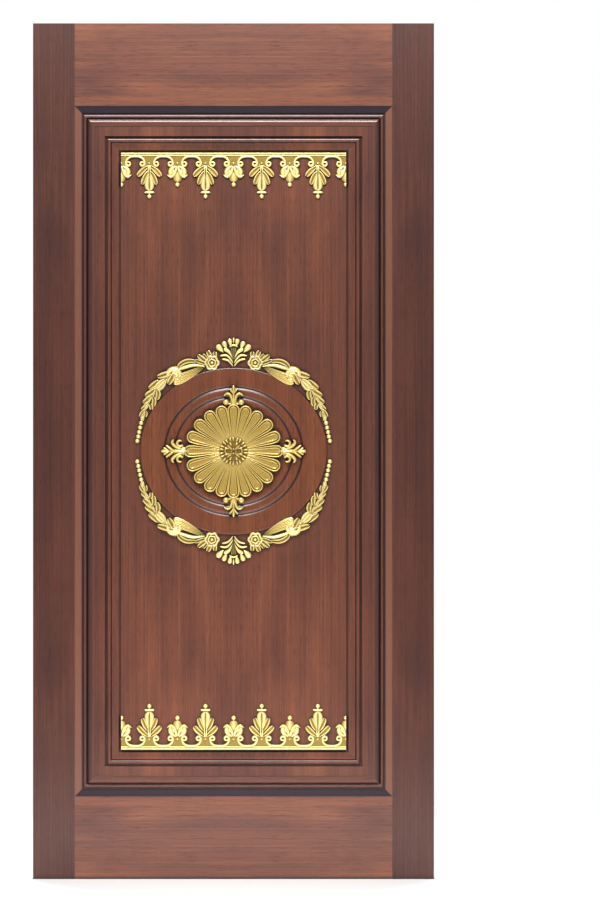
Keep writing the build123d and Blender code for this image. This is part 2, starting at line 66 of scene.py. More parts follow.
def addNode(tree, kind, inputs=None, output=0, **settings):      # gives back the new node's output
    node = tree.nodes.new("ShaderNode" + kind)
    for name, value in settings.items():
        setattr(node, name, value)
    for key, value in (inputs or {}).items():
        if isinstance(value, bpy.types.NodeSocket):
            tree.links.new(value, node.inputs[key])
        else:
            node.inputs[key].default_value = value
    return node.outputs[output]


def newMaterial(name):
    material = bpy.data.materials.new(name)
    material.use_nodes = True
    return material, material.node_tree, material.node_tree.nodes["Principled BSDF"]


# Stained teak under satin varnish: painted shade in its corners, streaked along each board. Lengths are in
# mm.
teak = {
    "middleHeight": 1067.0,      # the boards match left to right, and top to bottom about this height
    # grain layers: a streak's width and length, then the noise's shift, detail, roughness and distortion
    "figure": (50.0, 900.0, 0.0, 3.0, 0.55, 0.8),
    "clouds": (130.0, 340.0, 11.0, 2.0, 0.5, 0.6),
    "fine": (4.5, 450.0, 3.0, 5.0, 0.65, 0.0),
    "pores": (1.1, 30.0, 7.0, 1.0, 0.5, 0.0),    # real pores are about 0.3 wide, too fine to show
    "figureShare": 0.45,         # the rest of the broad tone is clouds
    "toneStops": (0.34, 0.5, 0.66),
    "poreRange": (0.56, 0.70),
    "poreShade": 0.45,
    "poreBump": 0.12,
    "poreDepth": 0.4,
    "paintedShadeColour": "#160D12",   # painted shade, laid in corners and grooves
    "cornerReach": 12.0,
    "cornerRange": (0.5, 0.93),
    "cornerShade": 1.0,
    "grooveShade": 0.8,
    "varnishRoughness": 0.32,
    "varnishIor": 1.5,
    "coatWeight": 0.3,
    "coatRoughness": 0.24,
}

# Boards: light, middle and dark stain, the grain's direction, the share of broad tone and a seed, then any
# strips of painted highlight and painted shade: their start and end from the leaf's middle, colour and share
boards = {
    # stiles: the darkest boards, brown-red with quiet upright grain
    "stile": ("#5A3226", "#462720", "#341C1C", "Z", 0.55, 1.3),
    # rails: lighter and warmer, with long level streaks
    "rail": ("#7C4A33", "#623A2D", "#472A27", "X", 0.6, 4.7),
    # upright mouldings: even brown, with a painted highlight on the slope at the frame and painted shade on
    # the ovolo
    "moulding_upright": ("#5D372B", "#553126", "#492920", "Z", 0.4, 2.1,
                         ((378.5, 397.0, "#8C5F4C", 0.3), (352.0, 366.5, "#32201E", 0.7))),
    # level mouldings: the same brown, with near-black painted shade on the slope at the frame
    "moulding_level": ("#5D372B", "#553126", "#492920", "X", 0.4, 2.9, ((843.5, 862.0, "#1C1120", 0.95),)),
    # panel: a red-brown field with broad, soft upright bands
    "panel": ("#71402C", "#583226", "#40241F", "Z", 0.55, 0.4),
    # roundel: a shade brighter than the panel that carries it
    "roundel": ("#774428", "#633622", "#4A291C", "Z", 0.55, 0.9),
    # wedges: end grain in the leaf's long edges, close to the stiles' tone
    "wedge": ("#4C2E26", "#40261F", "#331E19", "X", 0.5, 6.1),
}


def woodMaterial(name, light, middle, dark, along, broadShare, seed, paintedLightStrips=()):
    material, tree, shader = newMaterial(name)
    position = addNode(tree, "TexCoord", output="Object")
    split = addNode(tree, "SeparateXYZ", {0: position}).node.outputs
    fromMiddle = addNode(tree, "Math", {0: split["Z"], 1: teak["middleHeight"] / 1000},
                         operation="SUBTRACT")
    height = addNode(tree, "Math", {0: fromMiddle}, operation="ABSOLUTE")
    across = addNode(tree, "Math", {0: split["X"]}, operation="ABSOLUTE")
    matched = addNode(tree, "CombineXYZ", {0: across, 1: split["Y"], 2: height})

    def grain(layer):            # noise drawn out along the board
        width, length, shift, detail, roughness, distortion = teak[layer]
        thin, long = 1000 / width, 1000 / length
        scale = (long, thin, thin) if along == "X" else (thin, thin, long)
        offset = (seed + shift, seed, (seed + shift) * 0.5)
        board = addNode(tree, "Mapping", {"Vector": matched, "Location": offset, "Scale": scale})
        return addNode(tree, "TexNoise", {"Vector": board, "Scale": 1.0, "Detail": detail,
                                          "Roughness": roughness, "Distortion": distortion})

    broad = addNode(tree, "Mix", {0: teak["figureShare"], 2: grain("clouds"), 3: grain("figure")})
    tone = addNode(tree, "Mix", {0: broadShare, 2: grain("fine"), 3: broad})
    colour = addNode(tree, "ValToRGB", {0: tone})
    stops = colour.node.color_ramp.elements
    stops.new(0.5)
    for stop, position, shade in zip(stops, teak["toneStops"], (dark, middle, light)):
        stop.position = position
        stop.color = linear(shade)

    pores = grain("pores")
    low, high = teak["poreRange"]
    darker = addNode(tree, "MapRange", {0: pores, 1: low, 2: high, 3: 0.0, 4: teak["poreShade"]})
    colour = addNode(tree, "Mix", {0: darker, 6: colour, 7: linear(dark)}, 2, data_type="RGBA",
                     blend_type="MULTIPLY")
    # painted light and shade: each strip lightens or darkens a band of the mouldings, as light falls on them
    for start, end, tint, share in paintedLightStrips:
        reach = height if along == "X" else across
        inside = addNode(tree, "Math", {0: reach, 1: (start + end) / 2000, 2: (end - start) / 2000},
                         operation="COMPARE")
        strength = addNode(tree, "Math", {0: inside, 1: share}, operation="MULTIPLY")
        colour = addNode(tree, "Mix", {0: strength, 6: colour, 7: linear(tint)}, 2, data_type="RGBA")

    # painted shade: the dark colour goes into the roundel's grooves and, by ambient occlusion, into corners
    # and round the ornaments
    paintedGrooveShade = addNode(tree, "Attribute", output="Fac", attribute_name="paintedGrooveShade")
    groove = addNode(tree, "Math", {0: paintedGrooveShade, 1: teak["grooveShade"]}, operation="MULTIPLY")
    corner = addNode(tree, "AmbientOcclusion", {"Distance": teak["cornerReach"] / 1000}, "AO", samples=8)
    low, high = teak["cornerRange"]
    paintedCornerShade = addNode(tree, "MapRange", {0: corner, 1: low, 2: high, 3: teak["cornerShade"], 4: 0.0})
    for strength in (groove, paintedCornerShade):
        colour = addNode(tree, "Mix", {0: strength, 6: colour, 7: linear(teak["paintedShadeColour"])}, 2,
                         data_type="RGBA")
    bump = addNode(tree, "Bump", {"Strength": teak["poreBump"], "Distance": teak["poreDepth"] / 1000,
                                  "Height": pores})
    tree.links.new(colour, shader.inputs["Base Color"])
    tree.links.new(bump, shader.inputs["Normal"])
    shader.inputs["Roughness"].default_value = teak["varnishRoughness"]
    shader.inputs["IOR"].default_value = teak["varnishIor"]
    shader.inputs["Coat Weight"].default_value = teak["coatWeight"]
    shader.inputs["Coat Roughness"].default_value = teak["coatRoughness"]
    return material


# Gold paint over carving, with painted highlights on its crests and brown painted shade in its hollows
gilding = {
    "bright": ("#F3E4A0", "#CBAC56"),      # lit crests and flanks of most ornaments, a pale gold
    "deep": ("#E4CB7C", "#AE9148"),        # the same on the rosette, a fuller gold
    "hollowColour": "#523D1E",
    "hollowReach": 4.0,          # in mm
    "hollowRange": (0.2, 0.8),
    "hollowShade": 0.85,
    "toneStops": (0.12, 0.6, 0.92),
    "speckScale": 520.0,         # specks to a metre, about 2 mm each: real ones are too fine to show
    "speckShare": 0.35,
    "metallic": 0.4,
    "roughness": 0.3,
}


def goldMaterial(name, crestColour, flankColour):
    material, tree, shader = newMaterial(name)
    position = addNode(tree, "TexCoord", output="Object")
    # painted light: the crest layer makes high points bright and low ones dark, and specks add wear
    crest = addNode(tree, "Attribute", output="Fac", attribute_name="crest")
    specks = addNode(tree, "TexNoise", {"Vector": position, "Scale": gilding["speckScale"], "Detail": 3.0,
                                        "Roughness": 0.6})
    wear = addNode(tree, "Math", {0: specks, 1: 0.5}, operation="SUBTRACT")
    tone = addNode(tree, "Math", {0: wear, 1: gilding["speckShare"], 2: crest}, operation="MULTIPLY_ADD")
    colour = addNode(tree, "ValToRGB", {0: tone})
    stops = colour.node.color_ramp.elements
    stops.new(0.5)
    shades = (gilding["hollowColour"], flankColour, crestColour)
    for stop, position, shade in zip(stops, gilding["toneStops"], shades):
        stop.position = position
        stop.color = linear(shade)
    # painted shade: ambient occlusion darkens the hollows further
    corner = addNode(tree, "AmbientOcclusion", {"Distance": gilding["hollowReach"] / 1000}, "AO", samples=8)
    low, high = gilding["hollowRange"]
    hollow = addNode(tree, "MapRange", {0: corner, 1: low, 2: high, 3: gilding["hollowShade"], 4: 0.0})
    colour = addNode(tree, "Mix", {0: hollow, 6: colour, 7: linear(gilding["hollowColour"])}, 2,
                     data_type="RGBA")
    tree.links.new(colour, shader.inputs["Base Color"])
    shader.inputs["Metallic"].default_value = gilding["metallic"]
    shader.inputs["Roughness"].default_value = gilding["roughness"]
    return material


woods = {board: woodMaterial("teak_" + board, *values) for board, values in boards.items()}
goldBright = goldMaterial("gilding_bright", *gilding["bright"])
goldDeep = goldMaterial("gilding_deep", *gilding["deep"])


def dress(name, node):           # one of the leaf's own pieces gets its material
    if name.startswith("stile"):
        material = woods["stile"]
    elif name.startswith("rail"):
        material = woods["rail"]
    elif name.startswith("moulding"):
        upright = name.endswith("left") or name.endswith("right")
        material = woods["moulding_upright" if upright else "moulding_level"]
    elif name in ("panel", "roundel"):
        material = woods[name]
    elif name == "tenon_wedges":
        material = woods["wedge"]
    else:
        material = goldDeep if name == "rosette" else goldBright
    node.data.materials.clear()
    node.data.materials.append(material)


for nodeName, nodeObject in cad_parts.items():
    dress(nodeName, nodeObject)
print("dressed the wood and the gilding")


# Carving kit: every motif is drawn in mm, as x across, y up and a height above its ground
carving = {
    "mergeDistance": 0.00001,    # in metres
    "sharpAngle": 48.0,
    # cross-sections, each as pairs of the place from middle to edge and the share of the height there
    "sections": {
        "round": ((0.0, 1.0), (0.3, 0.96), (0.6, 0.80), (0.85, 0.52), (1.0, 0.25)),
        "gutter": ((0.0, 0.30), (0.25, 0.38), (0.5, 0.82), (0.68, 1.0), (0.85, 0.86), (1.0, 0.45)),
        "vein": ((0.0, 0.45), (0.12, 0.72), (0.45, 1.0), (0.8, 0.78), (1.0, 0.35)),
        "crest": ((0.0, 1.0), (0.15, 0.88), (0.55, 0.62), (1.0, 0.35)),
        "flat": ((0.0, 1.0), (1.0, 1.0)),
        "ribbed": ((0.0, 0.75), (0.12, 0.50), (0.3, 0.85), (0.44, 0.52), (0.62, 0.9), (0.74, 0.6),
                   (0.88, 1.0), (1.0, 0.5)),
    },
    "sectionTone": {"flat": 0.35},         # flat grounds stay dark, in painted shade
    "evenSwell": (1.0, 1.0, 1.0),          # a strip of one height from root to tip
}


def curvePoint(points, v):       # a smooth curve through the points, v running from 0 to 1
    spans = len(points) - 1
    i = min(int(v * spans), spans - 1)
    t = v * spans - i
    b, c = Vector(points[i]), Vector(points[i + 1])
    a = Vector(points[i - 1]) if i else 2 * b - c
    d = Vector(points[i + 2]) if i + 2 < len(points) else 2 * c - b
    square = 2 * a - 5 * b + 4 * c - d
    cube = 3 * b - a - 3 * c + d
    return (2 * b + (c - a) * t + square * t ** 2 + cube * t ** 3) / 2


def blend(pairs, value):         # straight lines between (value, result) pairs
    for (x0, y0), (x1, y1) in zip(pairs, pairs[1:]):
        if value <= x1:
            return y0 + (y1 - y0) * max(0.0, value - x0) / (x1 - x0)
    return pairs[-1][1]


def bulge(a, b):                 # leaf outline: a small a is blunt at the root, a small b at the tip
    top = (a / (a + b)) ** a * (b / (a + b)) ** b
    return lambda v: v ** a * (1 - v) ** b / top


def steps(*pairs):               # outline with straight stretches
    return lambda v: blend(pairs, v)


def turn(centre, start, end, first, last, count):      # points of a spiral, with its angles in degrees
    points = []
    for i in range(count + 1):
        share = i / count
        angle = radians(first + (last - first) * share)
        radius = start + (end - start) * share
        points.append((centre[0] + radius * cos(angle), centre[1] + radius * sin(angle)))
    return points


def around(count):               # unit vectors spread evenly round the middle
    angles = [radians(360 / count * (index + 0.5)) for index in range(count)]
    return [Vector((cos(angle), sin(angle))) for angle in angles]


def floatLayer(bm, name):        # painted light: "crest" lights high points, the other layer shades grooves
    layers = bm.verts.layers.float
    return layers.get(name) or layers.new(name)


# One carved strip along a curve. The outline is a share of the width along it, the swell is the share of
# the rise at its root, middle and tip, and across and along are its divisions.
def carve(bm, points, width, rise, section="round", outline=None, swell=(0.7, 1.0, 0.6), across=10,
          along=16):
    root, middle, tip = swell
    crest = floatLayer(bm, "crest")
    for vert in bmesh.ops.create_grid(bm, x_segments=across, y_segments=along, size=1.0)["verts"]:
        u, v = vert.co.x, (vert.co.y + 1) / 2
        grounded = abs(u) > 0.999 or abs(v - 0.5) > 0.499          # the outermost ring stands on the ground
        u = max(-1.0, min(1.0, u * across / (across - 2)))
        v = max(0.0, min(1.0, (v * along - 1) / (along - 2)))
        ahead = curvePoint(points, min(1.0, v + 0.01)) - curvePoint(points, max(0.0, v - 0.01))
        side = Vector((ahead.y, -ahead.x)).normalized()
        share = outline(v) if outline else 1.0
        spot = curvePoint(points, v) + side * (width / 2 * share * u)
        level = root * (1 - v) * (1 - 2 * v) + 4 * middle * v * (1 - v) + tip * v * (2 * v - 1)
        height = blend(carving["sections"][section], abs(u))
        # painted highlight: the higher a point stands in its section, the brighter its gilding
        vert[crest] = 0.0 if grounded else height * carving["sectionTone"].get(section, 1.0)
        vert.co = (spot.x, spot.y, 0.0 if grounded else rise * level * height)


def ball(bm, x, y, radius, rise):          # the upper half of a ball: a grid rolled round its pole
    sides, rings = 18, 5
    crest = floatLayer(bm, "crest")
    for vert in bmesh.ops.create_grid(bm, x_segments=sides, y_segments=rings, size=1.0)["verts"]:
        angle = pi * vert.co.x + pi / 2
        fall = pi / 4 * (1 - vert.co.y)
        reach = radius * sin(fall)
        # painted highlight, brightest at the ball's top
        vert[crest] = 0.3 + 0.7 * cos(fall)
        vert.co = (x + reach * cos(angle), y + reach * sin(angle), rise * cos(fall))


def disc(bm, radius, height, sides, tone):             # a flat disc, held above the ground by what it joins
    crest = floatLayer(bm, "crest")
    verts = bmesh.ops.create_circle(bm, cap_ends=True, segments=sides, radius=radius)["verts"]
    # tone is the disc's painted light, kept low for a ground in painted shade
    for vert in verts:
        vert[crest] = tone
    bmesh.ops.translate(bm, vec=(0, 0, height), verts=verts)


def motif(build, *values):       # a motif's mesh, drawn once and stamped as often as it is needed
    bm = bmesh.new()
    build(bm, *values)
    mesh = bpy.data.meshes.new(build.__name__)
    bm.to_mesh(mesh)
    bm.free()
    return mesh


def stamp(bm, mesh, matrix):
    floatLayer(bm, "crest")
    floatLayer(bm, "paintedGrooveShade")
    first = len(bm.verts)
    bm.from_mesh(mesh)
    bm.verts.ensure_lookup_table()
    bmesh.ops.transform(bm, matrix=matrix, verts=bm.verts[first:])


def place(x=0.0, y=0.0, degrees=0.0):
    return Matrix.Translation((x, y, 0.0)) @ Matrix.Rotation(radians(degrees), 4, "Z")


# Frieze: band, arches that end in volutes, and leaf and tulip drops by turns
frieze = {
    "pitches": 8,
    "relief": 7.4,
    "bandRelief": 6.2,
    "webRelief": 2.6,
    "webWidth": 52.0,
    "voluteX": 17.6,             # from the middle of the arch
    "voluteY": -28.0,
    "stripWidth": 7.2,
    "endOverlap": 2.0,           # the bands run past the ends and are cut there
}


def leafDrop(bm):
    high = frieze["relief"]
    for side in (-1, 1):
        carve(bm, [(side * 1.5, -33), (side * 11, -40.5), (side * 20, -48.5), (side * 29.5, -59.5)], 14.5,
              high * 0.9, "gutter", bulge(0.6, 0.3), (0.75, 1.0, 0.8), 12, 18)
        carve(bm, [(side * 1.5, -46), (side * 8.0, -56), (side * 13.2, -67), (side * 18, -80)], 13.5,
              high * 0.95, "gutter", bulge(0.6, 0.34), (0.6, 1.0, 0.8), 12, 18)
        carve(bm, [(side * 1.2, -31), (side * 2.2, -44), (side * 3.0, -60)], 6.0, high, "round",
              bulge(0.3, 0.8))
    carve(bm, [(0, -45), (0, -70), (0, -96)], 25.0, high * 0.85, "vein", bulge(1.3, 0.5), (0.5, 1.0, 0.7),
          14, 20)
    carve(bm, [(0, -52), (0, -72), (0, -90)], 3.0, high * 0.9, "crest", bulge(0.4, 0.9), (0.6, 1.0, 0.6),
          6, 12)
    carve(bm, [(0, -92), (0, -108)], 4.4, 3.4, "round", None, carving["evenSwell"], 6, 6)
    carve(bm, [(-12.5, -100), (-5, -98.8), (0, -99.8), (5, -98.8), (12.5, -100)], 7.6, 5.6, "round",
          bulge(0.2, 0.2), (0.7, 1.0, 0.7), 8, 16)
    ball(bm, 0, -109.4, 5.8, 6.4)


def tulipDrop(bm):
    high = frieze["relief"]
    for side in (-1, 1):
        carve(bm, [(side * 3, -33.5), (side * 12, -38.5), (side * 17.5, -47), (side * 17, -60)], 12.5,
              high * 0.72, "round", bulge(0.5, 0.35), (0.8, 1.0, 0.7), 10, 16)
        carve(bm, [(side * 6, -42), (side * 10, -50), (side * 12, -58)], 10.0, high * 0.55, "round",
              bulge(0.5, 0.5))
        petalLine = [(1.0, -33), (4.5, -46), (9, -55.5), (17, -60.8), (26.3, -54.6)]
        carve(bm, [(side * x, y) for x, y in petalLine], 9.4, high, "round", bulge(0.30, 0.5),
              (0.75, 1.0, 0.7), 10, 20)
    carve(bm, [(0, -46), (0, -60), (0, -74)], 20.5, high * 0.9, "crest", bulge(0.9, 0.5), (0.6, 1.0, 0.6),
          12, 16)
    carve(bm, [(0, -70), (0, -80)], 4.0, 3.2, "round", None, carving["evenSwell"], 6, 6)
    ball(bm, 0, -79.8, 6.0, 6.4)


def archSpan(bm):
    for side in (-1, 1):
        spiral = turn((-frieze["voluteX"], frieze["voluteY"]), 5.9, 3.8, 190, 520, 12)
        path = [(0.5, -9.4), (-7.5, -9.7), (-14.5, -12.0), (-20.0, -16.6), (-22.8, -22.5)] + spiral
        carve(bm, [(-side * x, y) for x, y in path], frieze["stripWidth"], frieze["relief"] * 0.92, "round",
              steps((0.0, 1.0), (0.35, 1.05), (0.6, 0.95), (1.0, 0.6)), (0.85, 1.0, 0.8), 8, 60)
        ball(bm, side * frieze["voluteX"], frieze["voluteY"], 1.6, 1.6)


def friezeWeb(bm):               # the low ground behind a drop, under the foot of two arches
    outline = steps((0.0, 1.0), (0.5, 0.62), (1.0, 0.22))
    carve(bm, [(0, -4.5), (0, -34)], frieze["webWidth"], frieze["webRelief"], "flat", outline,
          carving["evenSwell"], 8, 12)
    ball(bm, 0, -26.6, 2.8, frieze["webRelief"] + 3.0)


def wholeFrieze(bm):
    lowest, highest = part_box("frieze_top")
    half = (highest.x - lowest.x) / 2 * 1000           # in mm
    pitch = 2 * half / frieze["pitches"]
    end = half + frieze["endOverlap"]
    drops = {"leaf": motif(leafDrop), "tulip": motif(tulipDrop)}
    span, web = motif(archSpan), motif(friezeWeb)
    carve(bm, [(-end, -2.4), (end, -2.4)], 5.0, frieze["bandRelief"], "round", None, carving["evenSwell"],
          10, 40)
    carve(bm, [(-end, -7.0), (end, -7.0)], 4.4, frieze["bandRelief"] * 0.8, "round", None,
          carving["evenSwell"], 8, 40)
    for index in range(frieze["pitches"] + 1):
        x = (index - frieze["pitches"] / 2) * pitch
        stamp(bm, drops["leaf" if index % 2 else "tulip"], place(x))
        stamp(bm, web, place(x))
    for index in range(frieze["pitches"]):
        stamp(bm, span, place((index + 0.5 - frieze["pitches"] / 2) * pitch))
    for side in (-1, 1):         # the two end drops are halves, cut at the frieze's ends
        bmesh.ops.bisect_plane(bm, geom=bm.verts[:] + bm.edges[:] + bm.faces[:],
                               plane_co=(side * half, 0, 0), plane_no=(side, 0, 0), clear_outer=True)


# Palmette: fronds, a ribbed fan under a cap, and a crown of drops
palmette = {
    "relief": 7.8,
    "ribEnds": (2.6, 6.2),       # how far from the middle the fan's side ribs end
    "crown": ((36.7, 47.9, 8.2), (23.4, 56.8, 7.0), (9.3, 63.6, 6.6)),     # each drop's middle and radius
}


def wholePalmette(bm):
    high = palmette["relief"]
    for side in (-1, 1):
        carve(bm, [(side * 1.5, 0.5), (side * 7, 9), (side * 15, 16), (side * 29.5, 19.5)], 6.2,
              high * 0.85, "round", bulge(0.35, 0.2), (0.7, 1.0, 0.75), 10, 18)
        carve(bm, [(side * 1.0, 8), (side * 9, 21), (side * 19, 28.5), (side * 34.5, 27.0)], 6.8,
              high * 0.92, "round", bulge(0.4, 0.28), (0.7, 1.0, 0.7), 10, 18)
        carve(bm, [(side * 1.0, 17), (side * 7.5, 31), (side * 14, 39), (side * 24.5, 44.5)], 11.0,
              high, "round", bulge(0.95, 0.22), (0.6, 1.0, 0.8), 12, 18)
        for x in palmette["ribEnds"]:
            carve(bm, [(side * 0.5, 12), (side * x * 0.55, 32), (side * x, 50)], 3.2, high * 0.7, "crest",
                  bulge(0.7, 0.3), (0.5, 1.0, 0.9), 6, 14)
        for x, y, radius in palmette["crown"]:
            lean = Vector((x, y - 8)).normalized()
            root = Vector((x, y)) - lean * radius * 2.1
            tip = Vector((x, y)) + lean * radius * 0.98
            middle = (root + tip) / 2 + Vector((0.0, 0.6))
            carve(bm, [(side * point.x, point.y) for point in (root, middle, tip)], radius * 2.0, high,
                  "round", bulge(0.95, 0.42), (0.45, 1.0, 0.72), 12, 16)
    carve(bm, [(0, 8), (0, 30), (0, 50)], 3.4, high * 0.75, "crest", bulge(0.7, 0.3), (0.5, 1.0, 0.9),
          6, 14)
    carve(bm, [(-10.5, 49.0), (-5, 52.8), (0, 53.6), (5, 52.8), (10.5, 49.0)], 6.4, high * 0.95, "round",
          bulge(0.25, 0.25), (0.7, 1.0, 0.7), 10, 16)
    carve(bm, [(0, 55), (0, 64), (0, 73.2)], 5.8, high * 0.8, "round", bulge(1.2, 0.6), (0.5, 1.0, 0.6),
          8, 14)


# Garland: beads, husks that grow toward the scroll, a swept leaf and a flower with spikes. It is drawn
# for the upper left quarter, from the roundel's centre.
garland = {
    "relief": 8.6,
    "beadRadius": 5.8,
    "beadRise": 6.4,
    "beads": ((-240.6, 25.7), (-238.1, 36.7), (-236.1, 47.6), (-233.6, 59.1), (-231.1, 70.6)),
    "huskFullness": 1.25,
    "husks": (                   # root, middle, tip, width and share of the relief
        ((-225.0, 91), (-227.5, 84), (-228.0, 75), 8.0, 0.62),
        ((-219.0, 101), (-219.0, 94), (-220.5, 85), 8.0, 0.66),
        ((-222.0, 104), (-228.0, 96), (-234.8, 84.5), 8.5, 0.70),
        ((-209.0, 119), (-206.0, 112), (-205.5, 103), 9.5, 0.72),
        ((-212.0, 121), (-219.0, 112), (-230.5, 102.5), 10.5, 0.76),
        ((-200.5, 137), (-198.5, 125), (-200.5, 111), 10.5, 0.80),
        ((-203.0, 140), (-212.0, 131), (-226.5, 119.5), 11.5, 0.84),
        ((-191.0, 156), (-188.0, 143), (-192.0, 127.5), 11.0, 0.84),
        ((-194.0, 156), (-205.0, 147), (-221.5, 137.0), 12.5, 0.88),
        ((-170.0, 180), (-181.0, 167), (-194.5, 153.0), 19.0, 0.88),
        ((-186.0, 178), (-196.0, 168), (-212.5, 155.5), 12.0, 0.84),
        ((-147.5, 196), (-154.0, 183), (-163.5, 166.5), 12.5, 0.96),
        ((-150.0, 199), (-168.0, 192), (-191.5, 185.0), 13.0, 1.0),
    ),
    "stem": ((-150, 196), (-166, 180), (-184, 164), (-203, 140), (-217, 114), (-226, 90), (-229, 74)),
    "spikeFullness": 1.2,
    "spikes": (                  # as the husks
        ((-66, 217), (-80, 221.5), (-97.5, 228.0), 9.0, 0.80),
        ((-64, 221), (-77, 229.5), (-90.0, 240.5), 11.0, 0.92),
        ((-60, 225), (-69, 233.5), (-77.0, 243.0), 8.0, 0.84),
        ((-56, 228), (-60, 240.0), (-65.5, 251.2), 11.0, 0.96),
        ((-48, 229), (-47, 239.0), (-46.5, 249.5), 10.5, 0.90),
    ),
    "flowerPlace": (-54.0, 220.8, -12.0),  # x, y and turn in degrees
}


def lobedRing(bm, radius, lobes, depth, width, rise, shift):
    path = []
    for index in range(lobes * 8 + 1):
        angle = 2 * pi * index / (lobes * 8)
        reach = radius * (1 + depth * cos(lobes * angle))
        path.append((reach * cos(angle + radians(shift)), reach * sin(angle + radians(shift))))
    carve(bm, path, width, rise, "round", None, carving["evenSwell"], 8, lobes * 14)


def flower(bm):                  # a rose in rings: two lobed rims round a small boss
    high = garland["relief"]
    disc(bm, 15.5, high * 0.38, 30, 0.4)
    lobedRing(bm, 15.4, 6, 0.10, 7.0, high * 0.66, 10)
    lobedRing(bm, 8.8, 5, 0.07, 5.0, high * 0.92, 40)
    ball(bm, 0, 0, 4.4, high)


def wholeGarland(bm):
    high = garland["relief"]
    for x, y in garland["beads"]:
        ball(bm, x, y, garland["beadRadius"], garland["beadRise"])
    for root, middle, tip, width, share in garland["husks"]:
        carve(bm, [root, middle, tip], width * garland["huskFullness"], high * share, "gutter",
              bulge(0.6, 0.42), (0.75, 1.0, 0.65), 12, 16)
    carve(bm, garland["stem"], 9.0, 3.6, "round", steps((0.0, 1.6), (0.5, 1.2), (1.0, 0.6)),
          carving["evenSwell"], 8, 40)
    # the swept leaf and its two upper blades
    carve(bm, [(-152.5, 176.5), (-134, 180.5), (-104, 194.5), (-71, 213.5)], 27.0, high * 0.72, "ribbed",
          bulge(0.22, 0.72), (0.85, 1.0, 0.8), 28, 30)
    carve(bm, [(-138.5, 203.5), (-122, 209.5), (-99, 214.8), (-70, 211.5)], 10.5, high * 0.98, "round",
          bulge(0.35, 0.5), (0.8, 1.0, 0.7), 10, 24)
    carve(bm, [(-139.0, 206.0), (-132, 217), (-115, 225.0), (-90, 224.5)], 13.0, high * 0.86, "gutter",
          bulge(0.4, 0.4), (0.8, 1.0, 0.8), 12, 20)
    # the scroll and its eye
    ball(bm, -145.5, 200.5, 12.5, high * 0.9)
    carve(bm, turn((-150.0, 189.5), 14.5, 16.0, 205, -25, 10), 14.5, high, "round", bulge(0.4, 0.35),
          (0.75, 1.0, 0.8), 12, 26)
    for root, middle, tip, width, share in garland["spikes"]:
        carve(bm, [root, middle, tip], width * garland["spikeFullness"], high * share, "gutter",
              bulge(0.5, 0.38), (0.7, 1.0, 0.8), 12, 14)
    stamp(bm, motif(flower), place(*garland["flowerPlace"]))


# Rosette: twenty double-rimmed petals, scooped deeper toward their tips, a boss of small leaves and four
# fleurs. The tables are pairs of a distance in mm and a height or a share there.
rosette = {
    "petals": 20,
    "petalWarp": 2.0,            # degrees by which the petals crowd toward the top and the bottom
    "petalSpread": 8.98,         # degrees from a petal's middle to its edge
    "petalHalf": 15.6,
    "petalRoot": 30.0,
    "tipUp": 118.0,
    "tipSide": 124.0,
    "relief": 9.6,
    "rimRelief": 5.0,
    # plainTone and rimTone are painted light: highlights on the petals' rims, shade in the furrow between
    "plainTone": 0.72,
    "ground": ((30.0, 3.0), (44.0, 3.6), (70.0, 4.6), (100.0, 4.8), (130.0, 4.6)),       # by radius
    "scoop": ((30.0, 0.05), (46.0, 0.3), (75.0, 0.8), (98.0, 1.0), (130.0, 1.0)),        # by radius
    "rim": ((0.0, 0.30), (1.0, 0.80), (2.2, 1.0), (3.4, 0.85), (4.8, 0.34), (5.6, 0.28), (6.8, 0.80),
            (7.8, 0.90), (9.0, 0.45), (11.0, 0.30), (15.6, 0.26)),                       # from the edge
    "rimTone": ((0.0, 0.35), (1.0, 0.75), (2.2, 1.0), (3.4, 0.8), (4.8, 0.22), (5.6, 0.2), (6.8, 0.75),
                (7.8, 0.85), (9.0, 0.62), (11.0, 0.58), (15.6, 0.62)),                   # from the edge
    "outerLeaves": 22,
    "innerLeaves": 8,
    "crossLeaves": 4,
    "plateOverlap": 6.0,         # how far the boss's ground runs under the petals
    "plateHeight": 3.6,
}


def petalEdge(radius):           # half of a petal's width, before its round tip
    return min(rosette["petalHalf"], radius * tan(radians(rosette["petalSpread"])))


def petalHeight(x, radius, centre):        # height and painted-light tone, by how far a point lies inside the edge
    half = petalEdge(radius)
    inset = half - abs(x)
    if radius > centre:
        inset = rosette["petalHalf"] - sqrt(x * x + (radius - centre) ** 2)
    inset *= rosette["petalHalf"] / half
    depth = blend(rosette["scoop"], radius)
    height = blend(rosette["ground"], radius) + rosette["rimRelief"] * depth * blend(rosette["rim"], inset)
    contrast = min(1.0, depth * 1.15)
    tone = rosette["plainTone"] + (blend(rosette["rimTone"], inset) - rosette["plainTone"]) * contrast
    return height, tone


def petal(bm, tip):              # drawn upward from the rosette's centre
    across, along = 30, 34
    centre = tip - rosette["petalHalf"]
    crest = floatLayer(bm, "crest")
    for vert in bmesh.ops.create_grid(bm, x_segments=across, y_segments=along, size=1.0)["verts"]:
        u, v = vert.co.x, (vert.co.y + 1) / 2
        grounded = abs(u) > 0.999 or v > 0.999         # the outermost ring stands on the ground
        u = max(-1.0, min(1.0, u * across / (across - 2)))
        v = min(1.0, v * along / (along - 1))
        radius = rosette["petalRoot"] + (tip - rosette["petalRoot"]) * sin(v * pi / 2)
        half = petalEdge(radius)
        if radius > centre:
            half = sqrt(max(0.0, rosette["petalHalf"] ** 2 - (radius - centre) ** 2))
        height, tone = petalHeight(half * u, radius, centre)
        # painted highlight on the rims, painted shade between them
        vert[crest] = 0.0 if grounded else tone
        vert.co = (half * u, radius, 0.0 if grounded else height)


